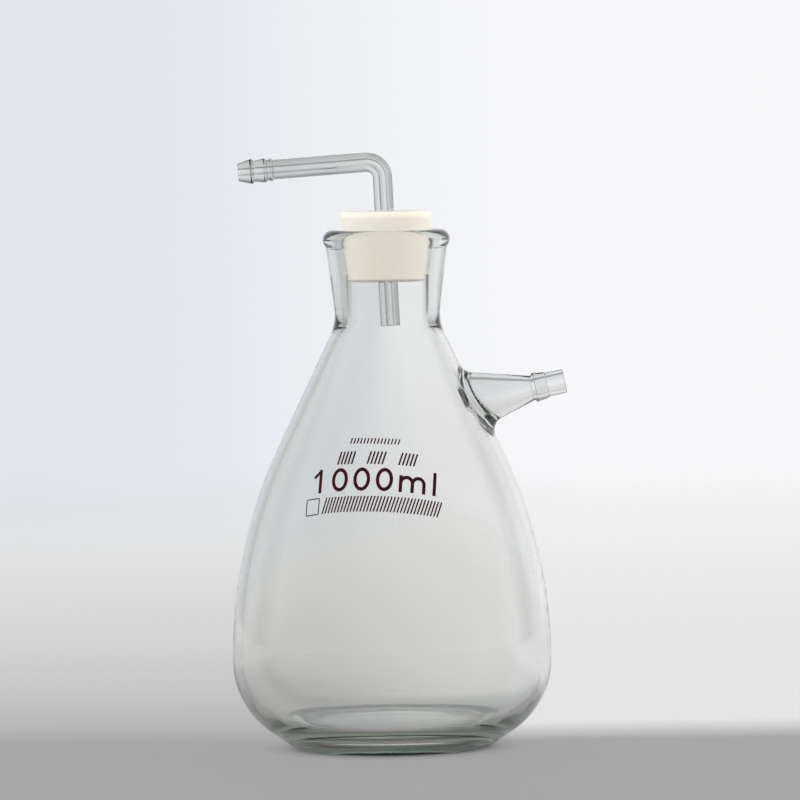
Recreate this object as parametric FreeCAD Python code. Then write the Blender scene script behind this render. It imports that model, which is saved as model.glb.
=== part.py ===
import FreeCAD, Part
import math
import os

# Vacuum trap bottle: a heavy conical glass flask with a side arm, a tapered rubber
# stopper with one hole in its mouth, and a right-angle glass tube through the stopper.
# Sizes are in millimetres and angles in degrees. Z points up and the origin is the middle
# of the foot, on the table. The side arm points along +X and the bent tube along -X.

# Flask, outside
FOOT_R = 40.0             # corner where the heel meets the table
FOOT_ROUND = 2.2          # rounding of that corner
FOOT_RING_R = 32.0        # inner edge of the flat ring the flask stands on
PUSH_UP = 1.8             # how far the underside is dished upwards
BELLY_R = 65.6            # widest radius
BELLY_Z = 36.0            # height of the widest place
HEEL_DEG = 55.6           # how far the heel's straight part leans out from upright
SHOULDER_DEG = 25.85      # how far the cone leans in from upright
WAIST_R = 21.0            # radius where the cone and the neck would meet
WAIST_ARC = 20.0          # sweep that joins the cone to the neck
FLASK_H = 212.8           # height of the lip
NECK_H = 38.0             # from the waist up to the lip
LIP_R = 26.1              # outer radius of the lip bead
LIP_BEAD = 4.1            # section radius of the bead
LIP_PROUD = 0.95          # how far the bead stands out from the neck, which flares up to it
LIP_UNDER = 1.4           # small sweep under the bead
MOUTH_ROUND = 3.0         # rounding of the bead into the tapered mouth

# Flask, inside
WALL = 3.4                # wall of the body
FLOOR_T = 8.0             # height of the inner floor over the table
FLOOR_CROWN = 1.2         # how far the inner floor rises in the middle
NECK_BORE_R = 16.2        # bore of the neck under the stopper

# Stopper
STOP_TOP_R = 19.35
STOP_BOTTOM_R = 15.75
STOP_H = 27.7
STOP_PROUD = 7.6          # how much of it stands over the lip
STOP_TOP_ROUND = 2.5      # rounding of its upper rim
STOP_FOOT_ROUND = 0.9     # rounding of its lower rim
SEAT_GAP = 0.15           # gap between the stopper and the ground mouth

# Bent tube
TUBE_R = 4.0
TUBE_BORE_R = 1.2
LEG_TILT = 2.3            # lean of the upright leg, its top towards -X
LEG_CROSSING = 7.8        # how far under the lip the leg crosses the flask's axis
STUB = 18.1               # how far the leg hangs below the stopper
RISE = 20.5               # from the stopper's top to the arm's centre line at the bend
BEND_R = 6.5              # bend of the centre line
ARM_DROOP = 3.8           # how far the arm slopes down to its end
ARM_L = 59.0              # from the corner of the centre lines to the tip
TUBE_END_ROUND = 0.5      # fire-polished ends
RUN_GAP = 0.05            # running gap between the tube and the hole in the stopper

# Barbed end of the tube, measured back from its tip
BARB_TIP_R = 3.65
BARB_1_AT = 5.7
BARB_1_R = 5.2
BARB_2_AT = 11.0
BARB_2_R = 5.0
BARB_ROOT_R = 4.25        # radius behind each barb
BARB_BACK = 0.9           # length of the slope behind each barb
RING_AT = 12.8
RING_R = 4.65
RING_W = 1.6
BARB_SOFT = 0.25          # rounding of the crests

# Side arm, measured along its own axis
ARM_DROP = 77.9           # how far under the lip its axis crosses the flask's axis
ARM_RISE = 11.5           # how far it points upwards
ARM_REACH = 74.0          # from the flask's axis to the tip
HOSE_R = 5.0              # plain end for the hose
HOSE_L = 7.4              # length of the plain end
HOSE_STEP = 0.35          # small step behind it
RIDGE_R = 6.1             # ridge that holds the hose
RIDGE_AT = 12.8           # from the tip to the ridge
NECK_R = 5.1              # narrowest part behind the ridge
NECK_AT = 13.6            # from the tip to that part
ROOT_FROM_AXIS = 34.0     # from the flask's axis to where the two root radii are measured
ROOT_R = 12.6             # radius of the cone there
ROOT_SWEEP = 5.5          # blend of the cone into the body
HOSE_BORE_R = 3.1
NECK_BORE_AT = 15.0       # from the tip to the end of the narrow bore
BORE_ROOT_R = 9.6         # radius of the bore at the root
BORE_SWEEP = 2.5          # rounding where the bore opens into the body
HOSE_END_ROUND = 0.7      # fire-polished tip, outside
HOSE_MOUTH_ROUND = 0.5    # fire-polished tip, inside

CLEAR = 20.0              # length by which a hollow runs past the surface it opens through

UP = FreeCAD.Vector(0, 0, 1)
ORIGIN = FreeCAD.Vector(0, 0, 0)


def at(point):
    """A point of a half section, (radius, height), as a vector in the XZ plane."""
    return FreeCAD.Vector(point[0], 0, point[1])


def line(start, end):
    return Part.LineSegment(at(start), at(end)).toShape()


def arc(start, middle, end):
    return Part.Arc(at(start), at(middle), at(end)).toShape()


def on_circle(centre, radius, degrees):
    """The point of a circle at an angle, counted from +X towards +Z."""
    turn = math.radians(degrees)
    return (centre[0] + radius * math.cos(turn), centre[1] + radius * math.sin(turn))


def belly_arc(point, degrees):
    """Radius of the arc that leaves the belly upright and ends on a straight line.

    The line goes through the point, (radius, height), and leans by the angle from upright.
    """
    lean = math.radians(degrees)
    to_belly = abs(point[1] - BELLY_Z)
    straight = (BELLY_R - point[0]) / math.tan(lean)
    return (to_belly - straight) / math.tan(lean / 2)


def arc_between(centre, radius, first, last):
    """Arc of a circle from one angle to another."""
    middle = (first + last) / 2
    return arc(on_circle(centre, radius, first), on_circle(centre, radius, middle),
               on_circle(centre, radius, last))


def cap_arc(edge_r, edge_z, rise):
    """Line of a shallow spherical cap, from its top on the axis out to its edge."""
    ball_r = (edge_r ** 2 + rise ** 2) / (2 * rise)
    centre = (0, edge_z + rise - ball_r)
    return arc_between(centre, ball_r, 90, math.degrees(math.acos(edge_r / ball_r)))


def rounded_corner(before, corner, after, radius):
    """Start, middle and end of the arc that rounds a corner between two straight lines."""
    into = at(before).sub(at(corner)).normalize()
    out = at(after).sub(at(corner)).normalize()
    half = into.getAngle(out) / 2
    reach = radius / math.tan(half)
    inward = (into + out).normalize()
    middle = at(corner) + inward * (radius / math.sin(half) - radius)
    start = at(corner) + into * reach
    end = at(corner) + out * reach
    return [(v.x, v.z) for v in (start, middle, end)]


def turned(edges):
    """Solid of revolution about Z, with its seam on the side away from the side arm."""
    face = Part.Face(Part.Wire(edges))
    solid = face.revolve(ORIGIN, UP, 360)
    solid.rotate(ORIGIN, UP, 90)
    return solid


def turned_outline(points):
    """Solid of revolution about Z whose half section joins the points with straight lines."""
    ends = points[1:] + points[:1]
    return turned([line(a, b) for a, b in zip(points, ends)])


def edges_near(shape, test):
    """Edges whose every sample point passes the test."""
    found = []
    for edge in shape.Edges:
        first, last = edge.ParameterRange
        samples = [edge.valueAt(first + (last - first) * k / 4) for k in range(5)]
        if all(test(p) for p in samples):
            found.append(edge)
    return found


def on_ring(radius, height, slack=0.05):
    """Test for a point on the level circle of this radius and height."""
    return lambda p: abs(math.hypot(p.x, p.y) - radius) < slack and abs(p.z - height) < slack


def slanted(shape, degrees, height):
    """A shape that was made along Z, laid along a direction in the XZ plane through (0, 0, height).

    The direction is given by its angle from +X towards +Z.
    """
    placed = shape.copy()
    placed.rotate(ORIGIN, FreeCAD.Vector(0, 1, 0), 90 - degrees)
    placed.translate(FreeCAD.Vector(0, 0, height))
    return placed


# Shared places
WAIST_Z = FLASK_H - NECK_H
ARM_AXIS_Z = FLASK_H - ARM_DROP
LEG_CENTRE_Z = FLASK_H - LEG_CROSSING
STOP_TOP_Z = FLASK_H + STOP_PROUD
STOP_BOTTOM_Z = STOP_TOP_Z - STOP_H
STOP_TAPER = (STOP_TOP_R - STOP_BOTTOM_R) / STOP_H
LIP_CENTRE = (LIP_R - LIP_BEAD, FLASK_H - LIP_BEAD)
SIDE_ARC = belly_arc((WAIST_R, WAIST_Z), SHOULDER_DEG)
SIDE_CENTRE = (BELLY_R - SIDE_ARC, BELLY_Z)


def flask_outside():
    """The flask as if it were solid glass, without the side arm."""
    corner = (FOOT_R, 0)
    waist = (WAIST_R, WAIST_Z)
    heel_arc = belly_arc(corner, HEEL_DEG)
    heel_centre = (BELLY_R - heel_arc, BELLY_Z)
    heel_point = on_circle(heel_centre, heel_arc, -HEEL_DEG)
    side_point = on_circle(SIDE_CENTRE, SIDE_ARC, SHOULDER_DEG)
    neck_top = (LIP_R - LIP_PROUD, LIP_CENTRE[1])
    foot = rounded_corner((FOOT_RING_R, 0), corner, heel_point, FOOT_ROUND)
    sweep = rounded_corner(side_point, waist, neck_top, WAIST_ARC)
    section = [
        cap_arc(FOOT_RING_R, 0, PUSH_UP),
        line((FOOT_RING_R, 0), foot[0]),
        arc(*foot),
        line(foot[2], heel_point),
        arc_between(heel_centre, heel_arc, -HEEL_DEG, 0),
        arc_between(SIDE_CENTRE, SIDE_ARC, 0, SHOULDER_DEG),
        line(side_point, sweep[0]),
        arc(*sweep),
        line(sweep[2], neck_top),
        line(neck_top, (0, neck_top[1])),
        line((0, neck_top[1]), (0, PUSH_UP)),
    ]
    return turned(section)


def lip():
    """The bead round the mouth, with the glass inside it."""
    level = LIP_CENTRE[1]
    section = [
        line((0, level - LIP_BEAD), (LIP_CENTRE[0], level - LIP_BEAD)),
        arc_between(LIP_CENTRE, LIP_BEAD, -90, 90),
        line((LIP_CENTRE[0], FLASK_H), (0, FLASK_H)),
        line((0, FLASK_H), (0, level - LIP_BEAD)),
    ]
    return turned(section)


def seat_r(height):
    """Radius of the tapered mouth at a height: the stopper's own radius and a gap."""
    return STOP_BOTTOM_R + (height - STOP_BOTTOM_Z) * STOP_TAPER + SEAT_GAP


def cavity():
    """The hollow of the flask, from the inner floor up past the mouth."""
    heel = BELLY_Z - FLOOR_T
    inner_belly = BELLY_R - WALL
    heel_centre = (inner_belly - heel, BELLY_Z)
    inner_arc = SIDE_ARC - WALL
    side_point = on_circle(SIDE_CENTRE, inner_arc, SHOULDER_DEG)
    cone_slope = math.tan(math.radians(SHOULDER_DEG))
    waist = (NECK_BORE_R, side_point[1] + (side_point[0] - NECK_BORE_R) / cone_slope)
    seat_z = STOP_BOTTOM_Z + (NECK_BORE_R - SEAT_GAP - STOP_BOTTOM_R) / STOP_TAPER
    seat_start = (NECK_BORE_R, seat_z)
    top = FLASK_H + CLEAR
    sweep = rounded_corner(side_point, waist, seat_start, WAIST_ARC)
    section = [
        cap_arc(heel_centre[0], FLOOR_T, FLOOR_CROWN),
        arc_between(heel_centre, heel, -90, 0),
        arc_between(SIDE_CENTRE, inner_arc, 0, SHOULDER_DEG),
        line(side_point, sweep[0]),
        arc(*sweep),
        line(sweep[2], seat_start),
        line(seat_start, (seat_r(top), top)),
        line((seat_r(top), top), (0, top)),
        line((0, top), (0, FLOOR_T + FLOOR_CROWN)),
    ]
    return turned(section)


def cone_start(root_r, end_r, end_at):
    """Where the cone of the side arm starts inside the flask: its radius and its place.

    The cone is carried on past its root with the taper that it has out to end_r at end_at.
    """
    taper = (root_r - end_r) / (end_at - ROOT_FROM_AXIS)
    start = ROOT_FROM_AXIS / 2
    return (root_r + taper * (ROOT_FROM_AXIS - start), start)


def side_arm_outside():
    """The side arm as if it were solid, from inside the flask to its tip."""
    tip = ARM_REACH
    start = cone_start(ROOT_R, NECK_R, tip - NECK_AT)
    solid = turned_outline([
        (0, start[1]),
        start,
        (NECK_R, tip - NECK_AT),
        (RIDGE_R, tip - RIDGE_AT),
        (HOSE_R + HOSE_STEP, tip - HOSE_L - HOSE_STEP),
        (HOSE_R, tip - HOSE_L),
        (HOSE_R, tip),
        (0, tip),
    ])
    solid = solid.makeFillet(HOSE_END_ROUND, edges_near(solid, on_ring(HOSE_R, tip)))
    solid = solid.makeFillet(HOSE_STEP, edges_near(solid, on_ring(RIDGE_R, tip - RIDGE_AT)))
    return slanted(solid, ARM_RISE, ARM_AXIS_Z)


def side_arm_bore():
    """The bore of the side arm, from the flask's hollow out past the tip."""
    tip = ARM_REACH
    start = cone_start(BORE_ROOT_R, HOSE_BORE_R, tip - NECK_BORE_AT)
    solid = turned_outline([
        (0, start[1]),
        start,
        (HOSE_BORE_R, tip - NECK_BORE_AT),
        (HOSE_BORE_R, tip + CLEAR),
        (0, tip + CLEAR),
    ])
    return slanted(solid, ARM_RISE, ARM_AXIS_Z)


def meeting_edges(shape):
    """Edges where the side arm's cone meets the wall of the body."""
    rise = math.radians(ARM_RISE)

    def is_on_root(p):
        along = p.x * math.cos(rise) + (p.z - ARM_AXIS_Z) * math.sin(rise)
        offset = -p.x * math.sin(rise) + (p.z - ARM_AXIS_Z) * math.cos(rise)
        around = math.hypot(offset, p.y)
        is_inboard = ROOT_FROM_AXIS / 2 < along < ARM_REACH - NECK_BORE_AT - ROOT_SWEEP
        return is_inboard and HOSE_BORE_R < around < BELLY_R / 2

    return edges_near(shape, is_on_root)


def make_flask():
    """Blown glass flask: body, neck, lip and side arm in one piece."""
    body = flask_outside().fuse(lip()).removeSplitter()
    under_bead = [e for e in body.Edges if is_under_bead(e)]
    body = body.makeFillet(LIP_UNDER, under_bead)
    body = body.fuse(side_arm_outside()).removeSplitter()
    body = body.makeFillet(ROOT_SWEEP, meeting_edges(body))
    hollow = cavity().fuse(side_arm_bore()).removeSplitter()
    hollow = hollow.makeFillet(BORE_SWEEP, meeting_edges(hollow))
    glass = body.cut(hollow)
    glass = glass.makeFillet(HOSE_MOUTH_ROUND, edges_near(glass, is_on_tip))
    return glass.makeFillet(MOUTH_ROUND, edges_near(glass, on_ring(seat_r(FLASK_H), FLASK_H)))


def is_on_tip(p):
    """Is this a point of the bore's rim at the side arm's tip?"""
    rise = math.radians(ARM_RISE)
    tip = FreeCAD.Vector(math.cos(rise), 0, math.sin(rise)) * ARM_REACH + UP * ARM_AXIS_Z
    return abs(p.distanceToPoint(tip) - HOSE_BORE_R) < 0.05


def is_under_bead(edge):
    """Is this the level ring where the bead meets the neck's straight line?"""
    box = edge.BoundBox
    low = LIP_CENTRE[1] - LIP_BEAD
    return box.ZLength < 0.01 and low < box.ZMin < LIP_CENTRE[1] and box.XMax > LIP_CENTRE[0]


def make_stopper():
    """Tapered rubber stopper with one slanted hole."""
    cone = Part.makeCone(STOP_BOTTOM_R, STOP_TOP_R, STOP_H)
    cone.translate(UP * STOP_BOTTOM_Z)
    top_rim = edges_near(cone, on_ring(STOP_TOP_R, STOP_TOP_Z))
    cone = cone.makeFillet(STOP_TOP_ROUND, top_rim)
    bottom_rim = edges_near(cone, on_ring(STOP_BOTTOM_R, STOP_BOTTOM_Z))
    cone = cone.makeFillet(STOP_FOOT_ROUND, bottom_rim)
    hole_l = 2 * (STOP_H + CLEAR)
    hole = Part.makeCylinder(TUBE_R + RUN_GAP, hole_l, UP * (-hole_l / 2), UP)
    return cone.cut(slanted(hole, 90 + LEG_TILT, LEG_CENTRE_Z))


def barbed_end(length):
    """The straight arm with its barbs, made along Z with its tip at the top."""
    tip = length
    solid = turned_outline([
        (0, 0),
        (TUBE_R, 0),
        (TUBE_R, tip - RING_AT - RING_W),
        (RING_R, tip - RING_AT - RING_W * 0.75),
        (RING_R, tip - RING_AT - RING_W * 0.25),
        (BARB_ROOT_R, tip - RING_AT),
        (BARB_ROOT_R, tip - BARB_2_AT - BARB_BACK),
        (BARB_2_R, tip - BARB_2_AT),
        (BARB_ROOT_R, tip - BARB_1_AT - BARB_BACK),
        (BARB_1_R, tip - BARB_1_AT),
        (BARB_TIP_R, tip),
        (0, tip),
    ])
    first = edges_near(solid, on_ring(BARB_1_R, tip - BARB_1_AT))
    second = edges_near(solid, on_ring(BARB_2_R, tip - BARB_2_AT))
    solid = solid.makeFillet(BARB_SOFT, first + second)
    end = edges_near(solid, on_ring(BARB_TIP_R, tip))
    return solid.makeFillet(TUBE_END_ROUND, end)


def bend(radius, start, out, turn):
    """Quarter bend of a round rod of this radius, from the leg's end to the arm's start."""
    disc = Part.Face(Part.Wire(Part.makeCircle(radius, start, out)))
    side = FreeCAD.Vector(0, -1, 0)
    hub = start + side.cross(out).normalize() * BEND_R
    return disc.revolve(hub, side, turn)


def along(shape, start, direction):
    """A shape that was made along Z, placed at a start point along a direction."""
    placed = shape.copy()
    placed.Placement = FreeCAD.Placement(start, FreeCAD.Rotation(UP, direction))
    return placed


def make_tube():
    """Right-angle glass tube: straight leg, bend and arm with a barbed end."""
    tilt = math.radians(LEG_TILT)
    droop = math.radians(ARM_DROOP)
    up = FreeCAD.Vector(-math.sin(tilt), 0, math.cos(tilt))
    out = FreeCAD.Vector(-math.cos(droop), 0, -math.sin(droop))
    turn = math.degrees(up.getAngle(out))
    set_back = BEND_R * math.tan(math.radians(turn / 2))
    corner_z = STOP_TOP_Z + RISE
    corner = FreeCAD.Vector((LEG_CENTRE_Z - corner_z) * math.tan(tilt), 0, corner_z)
    leg_l = (corner_z - STOP_BOTTOM_Z + STUB) / up.z - set_back
    leg_end = corner - up * (leg_l + set_back)
    leg_top = corner - up * set_back
    arm_start = corner + out * set_back
    leg = Part.makeCylinder(TUBE_R, leg_l)
    leg = leg.makeFillet(TUBE_END_ROUND, edges_near(leg, on_ring(TUBE_R, 0)))
    outside = along(leg, leg_end, up)
    outside = outside.fuse(bend(TUBE_R, leg_top, up, turn))
    outside = outside.fuse(along(barbed_end(ARM_L - set_back), arm_start, out))
    inside = Part.makeCylinder(TUBE_BORE_R, leg_l + CLEAR, leg_end - up * CLEAR, up)
    inside = inside.fuse(bend(TUBE_BORE_R, leg_top, up, turn))
    inside = inside.fuse(Part.makeCylinder(TUBE_BORE_R, ARM_L + CLEAR, arm_start, out))
    return outside.removeSplitter().cut(inside.removeSplitter())


def write_parts():
    """Write each piece to its own file."""
    os.makedirs("parts", exist_ok=True)
    pieces = {"flask": make_flask(), "stopper": make_stopper(), "bent_tube": make_tube()}
    for name, shape in pieces.items():
        shape.exportStep("parts/" + name + ".step")
        print(name, "solids", len(shape.Solids), "valid", shape.isValid(), "volume", round(shape.Volume))


write_parts()
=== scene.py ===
"""Looks and studio of the vacuum trap bottle.

The conical glass flask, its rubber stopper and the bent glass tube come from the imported
model. They get their glass and rubber here, the enamel print is fired onto the flask, and a
plain studio with the camera is set up round them. Lengths are in metres unless a name ends
in _mm or _deg.
"""

import logging
import math
from dataclasses import dataclass, field
from enum import Enum
from typing import Any, ClassVar, Iterable, Sequence, Union

import bmesh
import bpy
from mathutils import Matrix, Vector
from mathutils.bvhtree import BVHTree


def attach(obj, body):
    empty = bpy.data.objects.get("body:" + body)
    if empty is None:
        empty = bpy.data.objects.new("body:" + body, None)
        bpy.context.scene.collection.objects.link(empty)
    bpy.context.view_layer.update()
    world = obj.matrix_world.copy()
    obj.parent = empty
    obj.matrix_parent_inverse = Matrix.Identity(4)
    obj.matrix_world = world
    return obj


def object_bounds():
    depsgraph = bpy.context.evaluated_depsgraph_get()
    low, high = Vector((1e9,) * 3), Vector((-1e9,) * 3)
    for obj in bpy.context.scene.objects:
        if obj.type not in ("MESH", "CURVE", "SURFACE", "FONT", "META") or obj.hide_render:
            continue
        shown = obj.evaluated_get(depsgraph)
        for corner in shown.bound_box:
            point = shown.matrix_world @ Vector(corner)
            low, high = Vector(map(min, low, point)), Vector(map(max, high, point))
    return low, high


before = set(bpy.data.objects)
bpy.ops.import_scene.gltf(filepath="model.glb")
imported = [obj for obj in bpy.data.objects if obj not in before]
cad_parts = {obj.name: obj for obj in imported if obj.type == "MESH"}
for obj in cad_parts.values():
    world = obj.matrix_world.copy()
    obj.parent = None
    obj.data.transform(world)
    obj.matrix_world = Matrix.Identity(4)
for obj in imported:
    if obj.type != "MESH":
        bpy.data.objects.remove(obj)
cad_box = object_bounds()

log = logging.getLogger("trap_bottle")

MM = 0.001
Colour = tuple[float, float, float]
Point = tuple[float, float]
Operand = Union["Signal", float]


class Body(Enum):
    """The bodies that pieces ride on."""

    FLASK = "flask"
    STOPPER = "stopper"
    BENT_TUBE = "bent_tube"


# ---- shader writing


class Signal:
    """One output of a shader node, which can be used in plain arithmetic."""

    def __init__(self, graph: "Graph", socket: bpy.types.NodeSocket) -> None:
        """Wraps a socket of a node that belongs to graph."""
        self.graph = graph
        self.socket = socket

    def _math(self, operation: str, *operands: Operand) -> "Signal":
        """Adds one Math node.

        Args:
            operation: the node's operation.
            operands: its inputs, in order.

        Returns:
            The node's result.
        """
        inputs = {place: value for place, value in enumerate(operands)}
        return self.graph.add("ShaderNodeMath", {"operation": operation}, inputs)

    def __add__(self, other: Operand) -> "Signal":
        """Sum of the two."""
        return self._math("ADD", self, other)

    __radd__ = __add__

    def __sub__(self, other: Operand) -> "Signal":
        """This less the other."""
        return self._math("SUBTRACT", self, other)

    def __rsub__(self, other: Operand) -> "Signal":
        """The other less this."""
        return self._math("SUBTRACT", other, self)

    def __mul__(self, other: Operand) -> "Signal":
        """Product of the two."""
        return self._math("MULTIPLY", self, other)

    __rmul__ = __mul__

    def __truediv__(self, other: Operand) -> "Signal":
        """This divided by the other."""
        return self._math("DIVIDE", self, other)

    def larger(self, other: Operand) -> "Signal":
        """The larger of the two."""
        return self._math("MAXIMUM", self, other)

    def turn_from(self, other: Operand) -> "Signal":
        """Angle of the point (other, this) round the origin, in radians."""
        return self._math("ARCTAN2", self, other)

    def step(self, low: float, high: float,
             low_value: float = 0.0, high_value: float = 1.0) -> "Signal":
        """Smooth step between two values.

        Args:
            low: where the step starts.
            high: where it ends.
            low_value: the result up to low.
            high_value: the result from high on.

        Returns:
            The stepped signal.
        """
        return self.graph.add(
            "ShaderNodeMapRange",
            {"interpolation_type": "SMOOTHSTEP"},
            {"Value": self, "From Min": low, "From Max": high,
             "To Min": low_value, "To Max": high_value},
        )


class Graph:
    """The node tree of one material or of the world."""

    def __init__(self, tree: bpy.types.NodeTree) -> None:
        """Takes a tree over and empties it."""
        self.tree = tree
        tree.nodes.clear()

    def add(self, kind: str, settings: dict[str, Any] | None = None,
            sockets: dict[Union[str, int], Any] | None = None,
            output: Union[str, int] = 0) -> Signal:
        """Adds a node of any kind.

        Args:
            kind: the node's type name.
            settings: attributes that are set first; "stops" holds a ramp's (place, colour) pairs.
            sockets: values or signals of its inputs, by name or place.
            output: the output to return.

        Returns:
            The signal of that output.
        """
        node = self.tree.nodes.new(kind)
        for name, value in (settings or {}).items():
            if name == "stops":
                self._set_stops(node.color_ramp, value)
            else:
                setattr(node, name, value)
        for name, value in (sockets or {}).items():
            if isinstance(value, Signal):
                self.tree.links.new(value.socket, node.inputs[name])
            else:
                node.inputs[name].default_value = value
        return Signal(self, node.outputs[output])

    @staticmethod
    def _set_stops(ramp: bpy.types.ColorRamp, stops: Sequence[tuple[float, Colour]]) -> None:
        """Gives a colour ramp its stops, first place to last."""
        while len(ramp.elements) < len(stops):
            ramp.elements.new(1.0)
        for element, (place, colour) in zip(ramp.elements, stops):
            element.position = place
            element.color = (*colour, 1.0)

    def ramp(self, factor: Signal, stops: Sequence[tuple[float, Colour]],
             kind: str = "LINEAR") -> Signal:
        """Colour that follows factor through the stops."""
        colour = self.add("ShaderNodeValToRGB", {"stops": stops}, {"Fac": factor})
        colour.socket.node.color_ramp.interpolation = kind
        return colour

    def mix(self, factor: Operand, first: Any, second: Any, blend: str = "MIX") -> Signal:
        """Mixes two colours.

        Args:
            factor: 0 gives the first colour, 1 the second.
            first: a colour of four numbers or a signal.
            second: the same.
            blend: how the second is laid on the first.

        Returns:
            The mixed colour.
        """
        settings = {"data_type": "RGBA", "blend_type": blend}
        return self.add("ShaderNodeMix", settings, {0: factor, 6: first, 7: second}, output=2)

    def split(self, vector: Signal) -> tuple[Signal, Signal, Signal]:
        """The three parts of a vector."""
        x_part = self.add("ShaderNodeSeparateXYZ", None, {0: vector})
        outputs = x_part.socket.node.outputs
        return x_part, Signal(self, outputs[1]), Signal(self, outputs[2])

    def place(self) -> Signal:
        """Place of the shaded point on its own object, in metres."""
        return self.add("ShaderNodeTexCoord", output="Object")

    def stretched(self, vector: Signal, scale: Colour) -> Signal:
        """A vector with each part scaled by itself."""
        return self.add("ShaderNodeVectorMath", {"operation": "MULTIPLY"}, {0: vector, 1: scale})

    def length(self, vector: Signal) -> Signal:
        """Length of a vector."""
        settings = {"operation": "LENGTH"}
        return self.add("ShaderNodeVectorMath", settings, {0: vector}, output="Value")

    def light_path(self, output: str) -> Signal:
        """What the ray that asks has been through."""
        return self.add("ShaderNodeLightPath", output=output)

    def scattered(self) -> Signal:
        """1 for rays that have left a matt surface, 0 for those the camera sees directly."""
        return self.light_path("Diffuse Depth").step(0.2, 0.8)

    def noise(self, vector: Signal, scale: float,
              detail: float = 2.0, roughness: float = 0.5) -> Signal:
        """Soft random cloud between 0 and 1, with scale clouds to the metre."""
        sockets = {"Vector": vector, "Scale": scale, "Detail": detail, "Roughness": roughness}
        return self.add("ShaderNodeTexNoise", None, sockets)

    def specks(self, vector: Signal, scale: float, size: float) -> Signal:
        """Round specks, 1 inside and 0 outside.

        Args:
            vector: where.
            scale: cells to the metre, with one speck in each.
            size: share of a cell that its speck takes.

        Returns:
            The mask of the specks.
        """
        distance = self.add("ShaderNodeTexVoronoi", None, {"Vector": vector, "Scale": scale})
        return distance.step(size * 0.6, size, 1.0, 0.0)

    def relief(self, height: Signal, depth: float, below: Signal | None = None) -> Signal:
        """Normal of a surface with relief, depth metres from the lowest point to the highest."""
        sockets: dict[Union[str, int], Any] = {"Height": height, "Distance": depth, "Strength": 1.0}
        if below is not None:
            sockets["Normal"] = below
        return self.add("ShaderNodeBump", None, sockets)

    def shader(self, sockets: dict[Union[str, int], Any]) -> Signal:
        """The main surface shader with the given inputs."""
        return self.add("ShaderNodeBsdfPrincipled", None, sockets)

    def output(self, surface: Signal, volume: Signal | None = None) -> None:
        """Sends the finished shaders out of a material's tree."""
        sockets: dict[Union[str, int], Any] = {"Surface": surface}
        if volume is not None:
            sockets["Volume"] = volume
        node = self.tree.nodes.new("ShaderNodeOutputMaterial")
        for name, signal in sockets.items():
            self.tree.links.new(signal.socket, node.inputs[name])


def opaque(colour: Colour) -> tuple[float, float, float, float]:
    """A colour with full alpha."""
    return (*colour, 1.0)


def new_graph(name: str) -> tuple[bpy.types.Material, Graph]:
    """A fresh material and its empty tree."""
    material = bpy.data.materials.new(name)
    material.use_nodes = True
    return material, Graph(material.node_tree)


# ---- finishes


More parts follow.
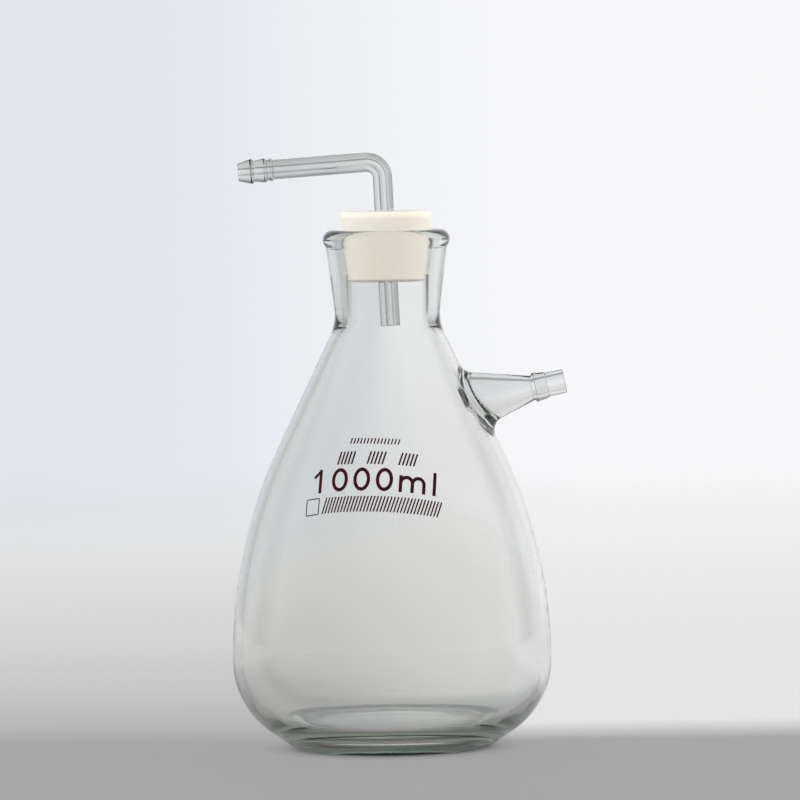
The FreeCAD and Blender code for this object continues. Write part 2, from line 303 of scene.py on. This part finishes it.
@dataclass(frozen=True)
class BlownGlass:
    """Clear borosilicate, drawn or blown, with slow waves, fine draw lines and a green edge.

    The skin tints light that crosses a surface. It is paler where the glass was drawn out and
    towards the top, from the upper body up. On the foot's outer edge it carries painted shade: a
    dark skin that stands in for the dark line seen there, not a tint of the glass.
    """

    name: str
    ior: float = 1.474
    skin: Colour = (0.950, 0.951, 0.942)
    pale_skin: Colour = (0.99, 0.992, 0.99)
    drawn_span: tuple[float, float] = (42.0 * MM, 54.6 * MM)
    paler_span: tuple[float, float] = (105.0 * MM, 195.0 * MM)
    # painted shade: the dark tint laid on the foot's outer edge
    painted_foot_shade: Colour = (0.20, 0.22, 0.21)
    foot_shade_band: tuple[float, float] = (3.4 * MM, 5.2 * MM)
    foot_shade_edge: tuple[float, float] = (37.0 * MM, 39.0 * MM)
    body_tint: Colour = (0.42, 0.54, 0.42)
    density: float = 12.0
    trapped_span: tuple[float, float] = (5.2, 5.8)
    base_span: tuple[float, float] = (16.0 * MM, 24.0 * MM)
    wave_mm: float = 26.0
    wave_depth_mm: float = 0.035
    line_depth_mm: float = 0.004
    line_stretch: float = 0.12
    lines_to_metre: float = 320.0
    smudges_to_metre: float = 38.0
    smudge_roughness: float = 0.02
    dust: Colour = (0.90, 0.91, 0.91)
    dust_to_metre: float = 260.0
    dust_size: float = 0.05
    dust_share: float = 0.5

    def _normal(self, graph: Graph, place: Signal) -> Signal:
        """Slow waves with fine draw lines on them."""
        waves = graph.noise(place, 1.0 / (self.wave_mm * MM), detail=1.0)
        drawn = graph.noise(graph.stretched(place, (1.0, 1.0, self.line_stretch)),
                            self.lines_to_metre, detail=1.0)
        normal = graph.relief(waves, self.wave_depth_mm * MM)
        return graph.relief(drawn, self.line_depth_mm * MM, normal)

    def _skin(self, graph: Graph, place: Signal) -> Signal:
        """Tint of the surface by place, with painted shade on the foot's outer edge and dust on it.
        """
        x_part, _, z_part = graph.split(place)
        drawn_out = x_part.step(*self.drawn_span)
        skin = graph.mix(drawn_out, opaque(self.skin), opaque(self.pale_skin))
        # paler towards the top, from the upper body up
        skin = graph.mix(z_part.step(*self.paler_span), skin, opaque(self.pale_skin))
        radius = graph.length(graph.stretched(place, (1.0, 1.0, 0.0)))
        # painted shade: a dark band low on the foot's outer edge darkens the light that passes
        # there
        foot = radius.step(*self.foot_shade_edge) * z_part.step(*self.foot_shade_band, 1.0, 0.0)
        skin = graph.mix(foot, skin, opaque(self.painted_foot_shade))
        dust = graph.specks(place, self.dust_to_metre, self.dust_size)
        return graph.mix(dust * self.dust_share, skin, opaque(self.dust))

    def _passed(self, graph: Graph, place: Signal) -> Signal:
        """Where rays go through as if there were no glass.

        Real glass lights what stands behind it and sends out all light that its thick base
        catches. Rays with few bounces can't do either, so three kinds go straight through.

        Args:
            graph: the material's tree.
            place: the shaded point.

        Returns:
            1 for rays that have left a matt surface, for shadow rays, and for rays that have
            bounced about in the base up to their last turns; 0 for the others.
        """
        _, _, z_part = graph.split(place)
        in_base = z_part.step(*self.base_span, 1.0, 0.0)
        trapped = graph.light_path("Ray Depth").step(*self.trapped_span) * in_base
        shadowing = graph.light_path("Is Shadow Ray")
        return graph.scattered().larger(trapped.larger(shadowing))

    def material(self) -> bpy.types.Material:
        """Builds the material."""
        material, graph = new_graph(self.name)
        place = graph.place()
        smudges = graph.noise(place, self.smudges_to_metre, detail=4.0, roughness=0.6)
        surface = graph.shader({
            "Base Color": self._skin(graph, place),
            "Roughness": smudges.step(0.52, 0.75) * self.smudge_roughness,
            "IOR": self.ior,
            "Transmission Weight": 1.0,
            "Normal": self._normal(graph, place),
        })
        passed = self._passed(graph, place)
        clear = graph.add("ShaderNodeBsdfTransparent")
        glass = graph.add("ShaderNodeMixShader", None, {0: passed, 1: surface, 2: clear})
        volume = graph.add("ShaderNodeVolumeAbsorption", None,
                           {"Color": opaque(self.body_tint), "Density": self.density})
        graph.output(glass, volume)
        return material


@dataclass(frozen=True)
class MouldedRubber:
    """Cream rubber with a faint clouding, fine grain and tiny filler specks.

    It is lighter where it sits in the mouth, to make up for the light that the glass takes.
    """

    name: str
    cream: Colour = (0.90, 0.87, 0.77)
    shade: Colour = (0.85, 0.81, 0.69)
    speck: Colour = (0.62, 0.57, 0.44)
    seated: Colour = (0.99, 0.905, 0.80)
    seated_share: float = 0.75
    seat_top: float = 212.0 * MM
    speck_share: float = 0.45
    roughness: float = 0.52
    grain_depth_mm: float = 0.03
    softness: float = 0.12

    def material(self) -> bpy.types.Material:
        """Builds the material."""
        material, graph = new_graph(self.name)
        place = graph.place()
        clouds = graph.noise(place, 55.0, detail=5.0, roughness=0.62).step(0.35, 0.68)
        colour = graph.mix(clouds, opaque(self.cream), opaque(self.shade))
        specks = graph.specks(place, 620.0, 0.16)
        colour = graph.mix(specks * self.speck_share, colour, opaque(self.speck))
        _, _, z_part = graph.split(place)
        in_mouth = z_part.step(self.seat_top - MM, self.seat_top + MM, self.seated_share, 0.0)
        colour = graph.mix(in_mouth, colour, opaque(self.seated))
        grain = graph.noise(place, 1900.0, detail=3.0, roughness=0.6)
        rough = self.roughness + clouds * 0.12 + grain * 0.06
        surface = graph.shader({
            "Base Color": colour,
            "Roughness": rough,
            "IOR": 1.5,
            "Specular IOR Level": 0.4,
            "Subsurface Weight": self.softness,
            "Subsurface Radius": (0.8, 0.6, 0.35),
            "Subsurface Scale": 0.002,
            "Normal": graph.relief(grain, self.grain_depth_mm * MM),
        })
        graph.output(surface)
        return material


@dataclass(frozen=True)
class FiredEnamel:
    """Dark red enamel, screen printed and fired: thin in places and dotted with pinholes."""

    name: str
    ink: Colour = (0.042, 0.0, 0.006)
    thin: Colour = (0.090, 0.002, 0.016)
    roughness: float = 0.34
    shine: float = 0.15
    grain_depth_mm: float = 0.012

    def material(self) -> bpy.types.Material:
        """Builds the material."""
        material, graph = new_graph(self.name)
        place = graph.place()
        clouds = graph.noise(place, 700.0, detail=4.0, roughness=0.65).step(0.50, 0.80)
        grain = graph.noise(place, 5200.0, detail=2.0)
        surface = graph.shader({
            "Base Color": graph.mix(clouds, opaque(self.ink), opaque(self.thin)),
            "Roughness": self.roughness + clouds * 0.2,
            "Specular IOR Level": self.shine,
            "Normal": graph.relief(grain, self.grain_depth_mm * MM),
        })
        graph.output(surface)
        return material


# ---- enamel print


@dataclass(frozen=True)
class Stroke:
    """A line of enamel of even width, in the flat of the print: x along it, y up, in mm."""

    points: tuple[Point, ...]
    width: float
    closed: bool = False

    def resampled(self, step: float) -> list[Vector]:
        """The stroke's points, no further apart than step."""
        ends = list(self.points) + ([self.points[0]] if self.closed else [])
        result = [Vector(ends[0])]
        for first, second in zip(ends, ends[1:]):
            start, stop = Vector(first), Vector(second)
            parts = max(1, math.ceil((stop - start).length / step))
            result += [start.lerp(stop, part / parts) for part in range(1, parts + 1)]
        if self.closed:
            result.pop()
        return result

    def edges(self, step: float) -> list[tuple[Vector, Vector]]:
        """Left and right edge points along the stroke."""
        points = self.resampled(step)
        count = len(points)
        pairs = []
        for place, point in enumerate(points):
            before = points[place - 1] if self.closed or place else point
            after = points[(place + 1) % count] if self.closed or place < count - 1 else point
            along = (after - before).normalized()
            side = Vector((-along.y, along.x)) * (self.width / 2)
            pairs.append((point + side, point - side))
        return pairs


def ellipse(centre: Point, radii: Point, width: float, count: int = 40) -> Stroke:
    """A closed ring of enamel whose outer edge has the given radii."""
    across, up = radii[0] - width / 2, radii[1] - width / 2
    turns = (2 * math.pi * k / count for k in range(count))
    points = tuple(
        (centre[0] + across * math.cos(turn), centre[1] + up * math.sin(turn)) for turn in turns)
    return Stroke(points, width, closed=True)


def arch(left: float, right: float, top: float, base: float, width: float,
         parts: int = 12) -> Stroke:
    """A hump that starts beside the left stem, bends over and comes down as the right stem."""
    radius = (right - left) / 2
    middle, crown = left + radius, top - width / 2 - radius
    turns = (math.pi - math.pi * k / parts for k in range(parts + 1))
    over = tuple(
        (middle + radius * math.cos(turn), crown + radius * math.sin(turn)) for turn in turns)
    return Stroke(over + ((right, base),), width)


@dataclass(frozen=True)
class Hatch:
    """How a field is hatched, in mm: the pitch of its lines and the width of each."""

    pitch: float
    width: float
    lean: ClassVar[float] = 0.28

    def fill(self, span: Point, base: float, height: float) -> list[Stroke]:
        """Slanted short lines that fill a field from end to end."""
        start, stop = span
        count = max(2, round((stop - start) / self.pitch))
        shift = height * self.lean / 2
        places = (start + (stop - start) * k / (count - 1) for k in range(count))
        return [Stroke(((x - shift, base), (x + shift, base + height)), self.width)
                for x in places]


@dataclass(frozen=True)
class PrintLayout:
    """Where each line of the print stands, in mm.

    x counts from the print's middle and y from the base line of the figures.
    """

    figure_height: float = 9.2
    figure_width: float = 7.0
    low_height: float = 6.7
    line_width: float = 1.4
    one_stem: float = -24.2
    one_flag: Point = (3.0, 3.0)
    zero_centres: tuple[float, ...] = (-15.3, -6.0, 3.3)
    m_stems: tuple[float, ...] = (9.9, 14.7, 19.5)
    l_stem: float = 23.9
    patch_centres: tuple[float, ...] = (-13.0, -0.4, 12.4)
    patch_width: float = 6.0
    patch_base: float = 10.6
    patch_height: float = 5.0
    small_span: Point = (-11.3, 8.2)
    small_base: float = 18.6
    small_height: float = 2.2
    foot_span: Point = (-21.5, 26.5)
    foot_base: float = -8.2
    foot_height: float = 6.2
    frame_span: Point = (-30.2, -24.2)
    frame_width: float = 0.42
    small_hatch: Hatch = Hatch(1.3, 0.55)
    patch_hatch: Hatch = Hatch(1.2, 0.7)
    foot_hatch: Hatch = Hatch(1.32, 0.6)

    def capacity(self) -> list[Stroke]:
        """The capacity in plain figures, with its unit."""
        high, low, wide = self.figure_height, self.low_height, self.line_width
        stem = self.one_stem
        flag_end = (stem - self.one_flag[0], high - self.one_flag[1])
        strokes = [
            Stroke(((stem, 0.0), (stem, high)), wide),
            Stroke((flag_end, (stem + wide * 0.3, high - wide / 4)), wide * 0.85),
        ]
        radii = (self.figure_width / 2, high / 2)
        strokes += [ellipse((centre, high / 2), radii, wide) for centre in self.zero_centres]
        first, middle, last = self.m_stems
        strokes.append(Stroke(((first, 0.0), (first, low)), wide))
        strokes.append(arch(first, middle, low, 0.0, wide))
        strokes.append(arch(middle, last, low, 0.0, wide))
        strokes.append(Stroke(((self.l_stem, 0.0), (self.l_stem, high)), wide))
        return strokes

    def fields(self) -> list[Stroke]:
        """Plain hatched fields that stand in the places of the other lines."""
        strokes = self.small_hatch.fill(self.small_span, self.small_base, self.small_height)
        half = self.patch_width / 2
        for centre in self.patch_centres:
            span = (centre - half, centre + half)
            strokes += self.patch_hatch.fill(span, self.patch_base, self.patch_height)
        strokes += self.foot_hatch.fill(self.foot_span, self.foot_base, self.foot_height)
        left, right = self.frame_span
        low, high = self.foot_base, self.foot_base + self.foot_height
        corners = ((left, low), (right, low), (right, high), (left, high))
        strokes.append(Stroke(corners, self.frame_width, closed=True))
        return strokes


@dataclass
class EnamelPrint:
    """The print on the flask's front, wrapped onto the glass as a thin raised film."""

    FRONT: ClassVar[float] = -math.pi / 2

    flask: bpy.types.Object
    base_line_z: float = 108.8 * MM
    middle_u: float = -5.7 * MM
    sag_mm: float = 1.8
    sag_at_mm: float = 23.5
    tilt_deg: float = -1.7
    slant_deg: float = 4.5
    proud: float = 0.06 * MM
    sunk: float = 0.02 * MM
    step_mm: float = 1.0
    layout: PrintLayout = field(default_factory=PrintLayout)
    finish: FiredEnamel = field(default_factory=lambda: FiredEnamel("fired_enamel"))

    def __post_init__(self) -> None:
        """Makes the glass ready for probing."""
        mesh = self.flask.data
        self.tree = BVHTree.FromPolygons(
            [vertex.co for vertex in mesh.vertices],
            [polygon.vertices for polygon in mesh.polygons])

    def _probe(self, turn: float, height: float) -> tuple[Vector, Vector]:
        """Point and normal of the glass at a turn round the axis and a height."""
        outward = Vector((math.cos(turn), math.sin(turn), 0.0))
        far = (cad_box[1] - cad_box[0]).length
        start = outward * far + Vector((0.0, 0.0, height))
        hit, normal, _, _ = self.tree.ray_cast(start, -outward)
        return hit, normal

    def _on_glass(self, flat: Vector, lift: float) -> Vector:
        """Wraps a point of the flat print onto the glass, lift above its surface."""
        along = flat.x + flat.y * math.tan(math.radians(self.slant_deg))
        sag = self.sag_mm * (along / self.sag_at_mm) ** 2
        up = flat.y - sag + along * math.tan(math.radians(self.tilt_deg))
        height = self.base_line_z + up * MM
        radius = self._probe(self.FRONT, height)[0].xy.length
        hit, normal = self._probe(self.FRONT + (self.middle_u + along * MM) / radius, height)
        return hit + normal * lift

    def _film(self, name: str, strokes: Iterable[Stroke]) -> bpy.types.Object:
        """Builds one mesh of closed thin strips, one for each stroke."""
        shell = bmesh.new()
        for stroke in strokes:
            rings = []
            for left, right in stroke.edges(self.step_mm):
                corners = ((left, -self.sunk), (left, self.proud),
                           (right, self.proud), (right, -self.sunk))
                rings.append([shell.verts.new(self._on_glass(flat, lift))
                              for flat, lift in corners])
            pairs = list(zip(rings, rings[1:]))
            if stroke.closed:
                pairs.append((rings[-1], rings[0]))
            for near, far in pairs:
                for side in range(4):
                    after = (side + 1) % 4
                    shell.faces.new((near[side], near[after], far[after], far[side]))
            if not stroke.closed:
                shell.faces.new(rings[0])
                shell.faces.new(list(reversed(rings[-1])))
        bmesh.ops.recalc_face_normals(shell, faces=shell.faces)
        mesh = bpy.data.meshes.new(name)
        shell.to_mesh(mesh)
        shell.free()
        piece = bpy.data.objects.new(name, mesh)
        bpy.context.scene.collection.objects.link(piece)
        return piece

    def build(self) -> list[bpy.types.Object]:
        """Builds and dresses the films and lets them ride on the flask.

        Returns:
            The film of the capacity and the film of the hatched fields.
        """
        films = [
            self._film("capacity_mark", self.layout.capacity()),
            self._film("print_fields", self.layout.fields()),
        ]
        enamel = self.finish.material()
        for film in films:
            film.data.materials.append(enamel)
            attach(film, Body.FLASK.value)
        return films


# ---- the three pieces


def dress(node: bpy.types.Object, material: bpy.types.Material) -> None:
    """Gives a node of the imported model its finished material."""
    for slot in node.material_slots:
        slot.material = material


@dataclass
class Flask:
    """The filter flask: its glass, and the print on it."""

    node: bpy.types.Object
    glass: BlownGlass = field(default_factory=lambda: BlownGlass("flask_glass_dressed"))

    def build(self) -> list[bpy.types.Object]:
        """Dresses the flask and prints it."""
        dress(self.node, self.glass.material())
        return [self.node] + EnamelPrint(self.node).build()


@dataclass
class Stopper:
    """The one-hole rubber stopper."""

    node: bpy.types.Object
    rubber: MouldedRubber = field(default_factory=lambda: MouldedRubber("rubber_dressed"))

    def build(self) -> list[bpy.types.Object]:
        """Dresses the stopper."""
        dress(self.node, self.rubber.material())
        return [self.node]


@dataclass
class BentTube:
    """The bent glass tube with its barbed hose end."""

    node: bpy.types.Object
    glass: BlownGlass = field(default_factory=lambda: BlownGlass(
        "tube_glass_dressed", body_tint=(0.64, 0.66, 0.66), density=100.0,
        wave_mm=14.0, wave_depth_mm=0.012))

    def build(self) -> list[bpy.types.Object]:
        """Dresses the tube."""
        dress(self.node, self.glass.material())
        return [self.node]


# ---- studio


def grey(level: float) -> Colour:
    """A neutral colour."""
    return (level, level, level)


@dataclass(frozen=True)
class Surround:
    """Light that comes from all round, by turn from the backdrop and by height.

    Glass sees a bright backdrop with dim flanks, and a dark flag in each of them, which draws
    its outline. What isn't glass is lit by a soft even light.
    """

    left_back: Colour = (0.755, 0.785, 0.830)
    right_back: Colour = (0.945, 0.945, 0.962)
    back_left_turn_deg: float = -2.4
    back_right_turn_deg: float = 1.5
    left_flank: float = 0.58
    right_flank: float = 0.82
    flag: float = 0.22
    left_flag_deg: tuple[float, ...] = (-86.0, -73.0, -67.0, -54.0)
    right_flag_deg: tuple[float, ...] = (46.0, 59.0, 65.0, 78.0)
    front: float = 0.46
    top: float = 0.36
    soft_side: float = 2.5
    soft_front: float = 1.35
    soft_top: float = 1.0
    top_span: tuple[float, float] = (0.35, 0.75)

    @staticmethod
    def _round(graph: Graph, half: Signal, tones: Sequence[tuple[float, Colour]],
               kind: str = "LINEAR") -> Signal:
        """Colour by turn from the backdrop, in degrees, with left below zero."""
        return graph.ramp(half, [(0.5 + turn / 360.0, colour) for turn, colour in tones], kind)

    def _flag_tones(self, turns: Sequence[float], flank: float) -> list[tuple[float, Colour]]:
        """Tones of a dark flag that stands in a flank."""
        return [(turn, grey(level))
                for turn, level in zip(turns, (flank, self.flag, self.flag, flank))]

    def build(self) -> None:
        """Lights the scene from the world."""
        world = bpy.data.worlds.new("studio_surround")
        bpy.context.scene.world = world
        world.use_nodes = True
        graph = Graph(world.node_tree)
        direction = graph.add("ShaderNodeTexCoord", output="Generated")
        x_part, y_part, z_part = graph.split(direction)
        half = x_part.turn_from(y_part) / (2 * math.pi) + 0.5
        band = self._round(graph, half, [
            (-180, grey(self.front)),
            (-130, grey(self.front)),
            (-100, grey(self.left_flank)),
            *self._flag_tones(self.left_flag_deg, self.left_flank),
            (-34, grey(self.left_flank)),
            (-16, self.left_back),
            (self.back_left_turn_deg, self.left_back),
            (self.back_right_turn_deg, self.right_back),
            (20, self.right_back),
            (38, grey(self.right_flank)),
            *self._flag_tones(self.right_flag_deg, self.right_flank),
            (100, grey(self.right_flank)),
            (130, grey(self.front)),
            (180, grey(self.front)),
        ], "EASE")
        soft_band = self._round(graph, half, [
            (-180, grey(self.soft_front)),
            (-135, grey(self.soft_front)),
            (-95, grey(self.soft_side)),
            (0, grey(self.soft_front)),
            (95, grey(self.soft_side)),
            (135, grey(self.soft_front)),
            (180, grey(self.soft_front)),
        ])
        overhead = z_part.step(*self.top_span)
        seen = graph.mix(overhead, band, opaque(grey(self.top)))
        soft = graph.mix(overhead, soft_band, opaque(grey(self.soft_top)))
        colour = graph.mix(graph.scattered(), seen, soft)
        background = graph.add("ShaderNodeBackground", None, {"Color": colour, "Strength": 1.0})
        output = graph.tree.nodes.new("ShaderNodeOutputWorld")
        graph.tree.links.new(background.socket, output.inputs["Surface"])


@dataclass(frozen=True)
class StudioFloor:
    """The pale floor: grey round the bottle, paler behind it, and fading out far away. The paler
    tones behind the bottle, darker on the left than on the right, are painted light: they stand
    in for how the studio light falls there.

    Its tones are pairs of a distance in metres and a grey. The left and right ones go by depth
    behind the bottle, and the contact shadow ones by distance from its axis: they are a painted
    contact shadow, darker in a ring under and round the foot. Part of the floor's light is its
    own glow, and light is what the soft surround gives the rest.
    """

    radius: float = 3.6
    drop: float = 0.2 * MM
    segments: int = 128
    light: float = 1.26
    # painted contact shadow: a darker ring on the floor under and round the foot
    contact_shadow_tones: tuple[tuple[float, float], ...] = (
        (0.0, 0.95), (0.029, 0.95), (0.034, 0.50), (0.0395, 0.50), (0.0445, 0.84), (0.055, 1.0))
    contact_shadow_reach: float = 0.060
    glow: float = 0.6
    # floor grey near the bottle, then painted light: paler with depth behind it
    left_floor_and_light_tones: tuple[tuple[float, float], ...] = (
        (0.03, 0.39), (0.10, 0.48), (0.26, 0.585), (0.52, 0.68), (1.4, 0.875), (2.0, 0.93))
    right_floor_and_light_tones: tuple[tuple[float, float], ...] = (
        (0.02, 0.39), (0.10, 0.82), (0.52, 0.835), (1.05, 0.88), (1.4, 0.96), (2.0, 1.0))
    reach: float = 2.4
    side_span: tuple[float, float] = (-0.07, 0.06)
    fade_span: tuple[float, float] = (0.9, 2.0)
    grain_share: float = 0.02
    grain_depth_mm: float = 0.02

    @staticmethod
    def _tones(graph: Graph, depth: Signal, tones: Sequence[tuple[float, float]],
               reach: float) -> Signal:
        """Ramp of grey over a distance, from nothing up to reach."""
        stops = [(place / reach, grey(level)) for place, level in tones]
        return graph.ramp(depth / reach, stops)

    def material(self) -> bpy.types.Material:
        """Builds the floor's finish."""
        material, graph = new_graph("studio_floor")
        place = graph.place()
        x_part, y_part, _ = graph.split(place)
        # painted light: the floor grows paler behind the bottle, less on the left than on the right
        left = self._tones(graph, y_part, self.left_floor_and_light_tones, self.reach)
        right = self._tones(graph, y_part, self.right_floor_and_light_tones, self.reach)
        colour = graph.mix(x_part.step(*self.side_span), left, right)
        grain = graph.noise(place, 900.0, detail=3.0)
        colour = graph.mix(self.grain_share, colour, grain)
        distance = graph.length(place)
        # painted contact shadow, multiplied into the floor's colour and glow
        contact = self._tones(graph, distance, self.contact_shadow_tones, self.contact_shadow_reach)
        colour = graph.mix(1.0, colour, contact, "MULTIPLY")
        lit_share = grey((1.0 - self.glow) / self.light)
        surface = graph.shader({
            "Base Color": graph.mix(1.0, colour, opaque(lit_share), "MULTIPLY"),
            "Roughness": 0.8,
            "Specular IOR Level": 0.1,
            "Emission Color": colour,
            "Emission Strength": self.glow,
            "Normal": graph.relief(grain, self.grain_depth_mm * MM),
        })
        clear = graph.add("ShaderNodeBsdfTransparent")
        faded = graph.add("ShaderNodeMixShader", None,
                          {0: distance.step(*self.fade_span), 1: surface, 2: clear})
        graph.output(faded)
        return material

    def build(self) -> bpy.types.Object:
        """Lays the floor just under the foot of the flask."""
        shell = bmesh.new()
        bmesh.ops.create_circle(
            shell, cap_ends=True, segments=self.segments, radius=self.radius)
        mesh = bpy.data.meshes.new("studio_floor")
        shell.to_mesh(mesh)
        shell.free()
        mesh.transform(Matrix.Translation((0.0, 0.0, -self.drop)))
        mesh.materials.append(self.material())
        floor = bpy.data.objects.new("studio_floor", mesh)
        bpy.context.scene.collection.objects.link(floor)
        return floor


@dataclass(frozen=True)
class StudioCamera:
    """The camera at the photograph's viewing angle: a long lens, a little above the lip."""

    distance: float = 3.0
    height: float = 0.298
    aim_x: float = 0.0047
    aim_z: float = 0.1427
    lens_mm: float = 329.3
    sensor_mm: float = 36.0
    roll_deg: float = 0.82

    def build(self) -> bpy.types.Object:
        """Sets the camera up."""
        data = bpy.data.cameras.new("studio_camera")
        data.lens = self.lens_mm
        data.sensor_width = self.sensor_mm
        camera = bpy.data.objects.new("studio_camera", data)
        camera.location = (self.aim_x, -self.distance, self.height)
        aim = Vector((self.aim_x, 0.0, self.aim_z)) - camera.location
        roll = Matrix.Rotation(math.radians(-self.roll_deg), 3, "Z")
        camera.rotation_euler = (aim.to_track_quat("-Z", "Y").to_matrix() @ roll).to_euler()
        bpy.context.scene.collection.objects.link(camera)
        bpy.context.scene.camera = camera
        return camera


@dataclass
class Studio:
    """Floor, light and camera."""

    surround: Surround = field(default_factory=Surround)
    floor: StudioFloor = field(default_factory=StudioFloor)
    camera: StudioCamera = field(default_factory=StudioCamera)

    def build(self) -> list[bpy.types.Object]:
        """Sets the studio up."""
        bpy.context.scene.view_settings.view_transform = "Standard"
        self.surround.build()
        return [self.floor.build(), self.camera.build()]


def main() -> None:
    """Builds the bottle's looks and the studio, and reports each piece."""
    logging.basicConfig(level=logging.INFO, format="%(name)s: %(message)s")
    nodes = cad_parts
    assemblies = (
        Flask(nodes[Body.FLASK.value]),
        Stopper(nodes[Body.STOPPER.value]),
        BentTube(nodes[Body.BENT_TUBE.value]),
        Studio(),
    )
    for assembly in assemblies:
        for piece in assembly.build():
            log.info("%s: %s", type(assembly).__name__, piece.name)


if __name__ == "__main__":
    main()
